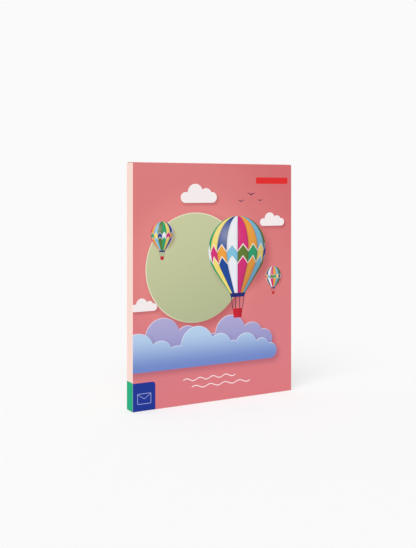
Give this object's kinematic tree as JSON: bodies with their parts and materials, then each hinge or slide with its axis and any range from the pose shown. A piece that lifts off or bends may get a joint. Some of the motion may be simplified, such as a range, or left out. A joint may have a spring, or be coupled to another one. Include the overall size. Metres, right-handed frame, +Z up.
{
  "type": "press-out card carton",
  "caption": "Slim closed folding carton of a press-out greeting card, with tucked and glued end panels and a glued side seam.",
  "frame": {"origin": "middle of the bottom end, where the carton stands", "axes": "+Z up along the carton's height, +X to the right of the front, front panel faces -Y"},
  "size_m": [0.135, 0.01, 0.175],
  "materials": {
    "printed_board": "matte printed folding boxboard"
  },
  "bodies": {
    "root": {"carton": "printed_board"}
  },
  "joints": []
}
